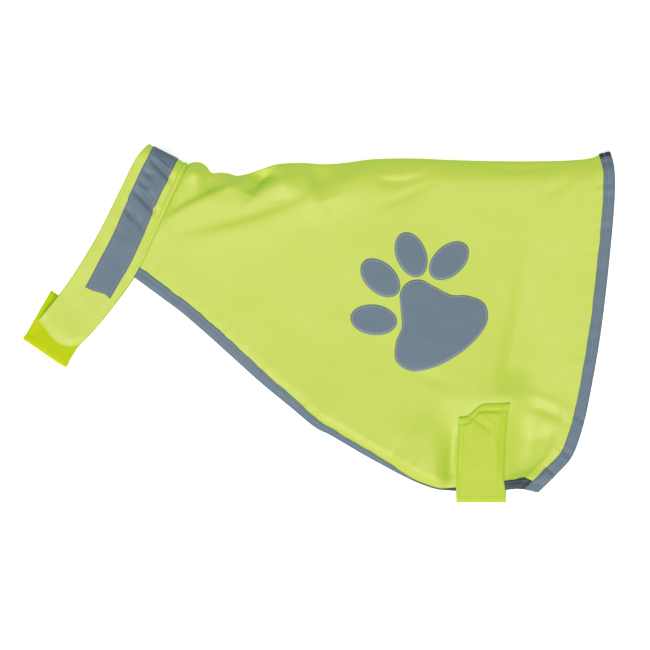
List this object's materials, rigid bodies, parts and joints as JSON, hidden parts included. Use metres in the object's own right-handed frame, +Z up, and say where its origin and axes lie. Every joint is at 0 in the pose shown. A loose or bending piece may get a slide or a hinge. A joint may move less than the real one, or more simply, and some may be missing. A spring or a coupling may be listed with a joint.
{
  "type": "dog safety vest",
  "caption": "High-visibility dog vest folded along the spine and lying on its side, collar and belly strap fastened, reflective binding and paw.",
  "frame": {"origin": "on the surface that the vest lies on, under the middle of its outline", "axes": "+X from the neck to the rear hem, +Y from the belly to the spine fold, +Z up, out of the left side"},
  "size_m": [0.5637, 0.3413, 0.0231],
  "materials": {
    "lime_cloth": "matt fluorescent polyester",
    "reflective_tape": "satin reflective tape",
    "touch_fastener": "matt hook and loop"
  },
  "bodies": {
    "root": {"body_panel": "lime_cloth", "front_binding_near": "reflective_tape", "front_binding_far": "reflective_tape", "hem_binding": "reflective_tape", "collar_band": "lime_cloth", "collar_strip": "reflective_tape", "collar_loop": "touch_fastener", "collar_hook": "touch_fastener", "belly_strap": "lime_cloth", "belly_loop": "touch_fastener", "belly_hook": "touch_fastener", "paw_pad": "reflective_tape", "paw_toe_1": "reflective_tape", "paw_toe_2": "reflective_tape", "paw_toe_3": "reflective_tape", "paw_toe_4": "reflective_tape"}
  },
  "joints": []
}
